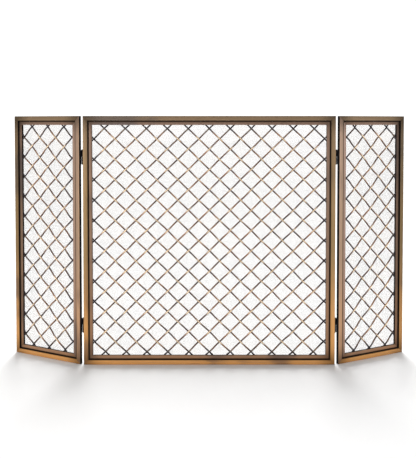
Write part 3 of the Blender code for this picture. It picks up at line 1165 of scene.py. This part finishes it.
class SCREEN_OT_hinges(bpy.types.Operator):
    """Hinge leaves, pins and screws"""

    bl_idname = "fire_screen.hinges"
    bl_label = "Hinges"

    def execute(self, context):
        sizes = context.scene.screen_sizes
        paint = finish_named("hinge_paint", satin_black, 0.35)
        steel = finish_named("screw_steel", dark_steel)
        head = screw_head(sizes.screw_radius * HINGE_HEAD_SHARE, sizes.screw_radius * HINGE_HEAD_RISE)
        tree = screw_tree()
        for name in HINGES:
            hinge = Hinge(name)
            for which in ("centre", "side"):
                self.leaf(hinge, which, paint)
            for which in ("centre", "side"):
                self.screws(hinge, which, tree, head, steel)
            self.pin(hinge, steel)
        bpy.data.objects.remove(head)
        return {"FINISHED"}

    def leaf_matrix(self, hinge, which):
        """From a leaf's own frame to its place: its plate lies towards its own panel."""
        panel = PANEL_FRAMES["centre"] if which == "centre" else hinge.panel
        towards = -hinge.out if which == "centre" else hinge.out
        across = panel.across * towards
        matrix = Matrix((across, panel.back, FOLD_AXIS)).transposed().to_4x4()
        matrix.translation = hinge.middle
        return matrix, panel.body

    def leaf(self, hinge, which, paint):
        """One leaf; the side leaf's barrel is the upper one."""
        node = f"{hinge.name}_hinge_{which}_leaf"
        matrix, body = self.leaf_matrix(hinge, which)
        item = link_mesh(f"{node}_finish", leaf_mesh(hinge, which == "side"), paint)
        bevel = item.modifiers.new("Soft edges", "BEVEL")
        bevel.width = LEAF_BEVEL
        bevel.segments = 2
        bevel.limit_method = "ANGLE"
        bevel.angle_limit = math.radians(50)
        evaluated = item.evaluated_get(bpy.context.evaluated_depsgraph_get())
        finished = bpy.data.meshes.new_from_object(evaluated)
        item.modifiers.clear()
        item.data = finished
        fasten(item, matrix, body, node)

    def screws(self, hinge, which, tree, head, steel):
        """Two screws through a leaf's plate, heads in the gap between the panels."""
        matrix, body = self.leaf_matrix(hinge, which)
        inner = hinge.radius - LEAF_THICKNESS
        half = hinge.half
        item = grow(f"{hinge.name}_hinge_{which}_screws", tree, {
            "Count": 2,
            "Start": (inner, hinge.front * 0.62, -half * 0.6),
            "Step": (0.0, 0.0, half * 1.2),
            "Head": head,
            "Turn": (0.0, -math.pi / 2, 0.0),
            "Seed": len(hinge.name) + len(which),
            "Finish": steel,
        })
        fasten(item, matrix, body)

    def pin(self, hinge, steel):
        """The pin, with a low dome at each end."""
        node = f"{hinge.name}_hinge_pin"
        low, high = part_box(node)
        half = (high[2] - low[2]) / 2
        shank = hinge.half + HAIRLINE
        head = (high[0] - low[0]) / 2
        core = hinge.radius - LEAF_THICKNESS - HAIRLINE
        dome = []
        for step in range(DOME_STEPS + 1):
            angle = math.pi / 2 * step / DOME_STEPS
            rise = 0.35 + 0.65 * math.sin(angle)
            dome.append((head * math.cos(angle) + 0.00005, shank + (half - shank) * rise))
        profile = [(radius, -height) for radius, height in reversed(dome)]
        profile += [(head, -shank), (core, -shank), (core, shank), (head, shank)]
        profile += dome
        builder = bmesh.new()
        turned_profile(builder, profile, PIN_SIDES)
        item = link_mesh(f"{node}_finish", builder, steel, smooth_angle=40.0)
        fasten(item, Matrix.Translation(hinge.middle), "centre_panel", node)


# Stage

FLOOR_REACH = 30.0
BACK_LIGHT_POWER = 4.4
BACK_LIGHT_RISE = 0.45  # radians above level
BACK_LIGHT_SOFTNESS = 0.5
BACKDROP = 1.3
ROOM = 0.2
AREA_LIGHTS = (  # name, place, size, power and tint
    ("key", (-1.9, -2.4, 0.6), (1.6, 0.9), 38.0, (1.0, 0.97, 0.92)),
    ("fill", (2.4, -2.2, 0.6), (1.8, 0.9), 26.0, (0.95, 0.97, 1.0)),
)
CAMERA_DISTANCE = 2.444  # in front of the centre panel's face
CAMERA_HEIGHT = 0.841
CAMERA_DIP = 0.0315  # radians below level
CAMERA_LENS = 55.84
CAMERA_SHIFT = (-0.0028, -0.1834)


def add_area(name, place, target, size, power, tint):
    """A soft rectangular light aimed at a point."""
    light = bpy.data.lights.new(name, "AREA")
    light.shape = "RECTANGLE"
    light.size, light.size_y = size
    light.energy = power
    light.color = tint
    item = add_object(name, light)
    item.location = place
    item.rotation_euler = (Vector(target) - Vector(place)).to_track_quat("-Z", "Y").to_euler()


def bright_backdrop():
    """A studio that is bright behind the screen and dimmer in front of it."""
    world = bpy.data.worlds.new("Soft studio")
    world.use_nodes = True
    tree = Tree(world.node_tree)
    behind = tree.split(tree.node("ShaderNodeTexCoord").outputs["Generated"])[1]
    sky = tree.tree.nodes["Background"]
    sky.inputs["Color"].default_value = (1.0, 1.0, 1.0, 1.0)
    strength = behind.ramp(-0.15, 0.2) * (BACKDROP - ROOM) + ROOM
    plug(tree.tree, strength, sky.inputs["Strength"])
    return world


class SCREEN_OT_stage(bpy.types.Operator):
    """Floor, soft studio light and camera"""

    bl_idname = "fire_screen.stage"
    bl_label = "Stage"

    def execute(self, context):
        self.floor()
        self.lights(context.scene)
        self.camera(context.scene)
        context.scene.view_settings.view_transform = "Standard"
        return {"FINISHED"}

    def floor(self):
        builder = bmesh.new()
        bmesh.ops.create_grid(builder, x_segments=8, y_segments=8, size=FLOOR_REACH)
        item = link_mesh("studio_floor", builder, finish_named("floor_pale", studio_floor))
        item.data.transform(Matrix.Translation((0.0, 0.0, CAD_BOX[0].z - 0.0002)))

    def lights(self, scene):
        scene.world = bright_backdrop()
        middle = (0.0, 0.0, CAD_BOX[1].z * 0.5)
        sun = bpy.data.lights.new("back_light", "SUN")
        sun.energy = BACK_LIGHT_POWER
        sun.angle = BACK_LIGHT_SOFTNESS
        item = add_object("back_light", sun)
        item.rotation_euler = (BACK_LIGHT_RISE - math.pi / 2, 0.0, 0.0)
        for name, place, size, power, tint in AREA_LIGHTS:
            add_area(name, place, middle, size, power, tint)

    def camera(self, scene):
        front = PANEL_FRAMES["centre"].origin.y
        lens = bpy.data.cameras.new("front_view")
        lens.lens = CAMERA_LENS
        lens.shift_x, lens.shift_y = CAMERA_SHIFT
        item = add_object("front_view", lens)
        item.location = (0.0, front - CAMERA_DISTANCE, CAMERA_HEIGHT)
        item.rotation_euler = (math.pi / 2 - CAMERA_DIP, 0.0, 0.0)
        scene.camera = item


class SCREEN_PT_panel(bpy.types.Panel):
    """Lists the screen's pieces"""

    bl_idname = "SCREEN_PT_panel"
    bl_label = "Fireplace Screen"
    bl_space_type = "VIEW_3D"
    bl_region_type = "UI"
    bl_category = "Fire Screen"

    def draw(self, context):
        layout = self.layout
        for operator in OPERATORS:
            layout.operator(operator.bl_idname)
        for group in (context.scene.screen_sizes, context.scene.screen_colours):
            box = layout.box()
            for name in group.__annotations__:
                box.prop(group, name)


GROUPS = (ScreenSizes, ScreenColours)
OPERATORS = (
    SCREEN_OT_rails,
    SCREEN_OT_trims,
    SCREEN_OT_lattices,
    SCREEN_OT_spark_mesh,
    SCREEN_OT_retainers,
    SCREEN_OT_hinges,
    SCREEN_OT_stage,
)


def register():
    for item in (*GROUPS, *OPERATORS, SCREEN_PT_panel):
        bpy.utils.register_class(item)
    bpy.types.Scene.screen_sizes = bpy.props.PointerProperty(type=ScreenSizes)
    bpy.types.Scene.screen_colours = bpy.props.PointerProperty(type=ScreenColours)


def unregister():
    del bpy.types.Scene.screen_colours
    del bpy.types.Scene.screen_sizes
    for item in (SCREEN_PT_panel, *reversed(OPERATORS), *reversed(GROUPS)):
        bpy.utils.unregister_class(item)


def main():
    """Build every piece in order."""
    register()
    bpy.ops.fire_screen.rails()
    bpy.ops.fire_screen.trims()
    bpy.ops.fire_screen.lattices()
    bpy.ops.fire_screen.spark_mesh()
    bpy.ops.fire_screen.retainers()
    bpy.ops.fire_screen.hinges()
    bpy.ops.fire_screen.stage()


if __name__ == "__main__":
    main()
